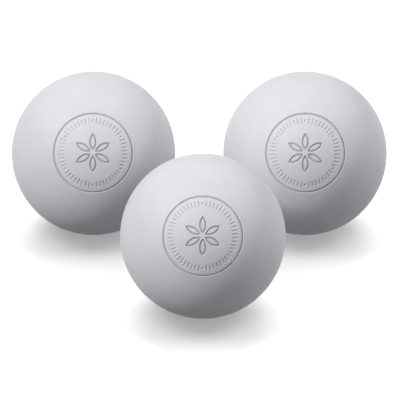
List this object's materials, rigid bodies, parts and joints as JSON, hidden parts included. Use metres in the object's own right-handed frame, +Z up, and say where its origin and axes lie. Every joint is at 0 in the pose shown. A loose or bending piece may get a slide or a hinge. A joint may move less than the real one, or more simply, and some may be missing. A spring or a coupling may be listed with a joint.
{
  "type": "lacrosse ball set",
  "caption": "Set of solid moulded rubber lacrosse balls standing loose on the floor, each with a round seal pressed into its skin; thrown, caught and rolled.",
  "frame": {"origin": "on the floor, at the middle of the box that holds the set", "axes": "+Z up; +X to the viewer's right, along the back pair; -Y towards the viewer, whom the seals face"},
  "size_m": [0.1456, 0.1346, 0.0635],
  "materials": {
    "white_rubber": "matte"
  },
  "bodies": {
    "ball_front": {"ball_front": "white_rubber"},
    "ball_left": {"ball_left": "white_rubber"},
    "ball_right": {"ball_right": "white_rubber"}
  },
  "joints": [
    {"name": "ball_left_roll", "type": "hinge", "parent": "ball_front", "child": "ball_left", "pos_m": [-0.04105, 0.03555, 0.03175], "axis": [0, 1, 0], "continuous": true},
    {"name": "ball_right_roll", "type": "hinge", "parent": "ball_front", "child": "ball_right", "pos_m": [0.04105, 0.03555, 0.03175], "axis": [0, 1, 0], "continuous": true}
  ]
}
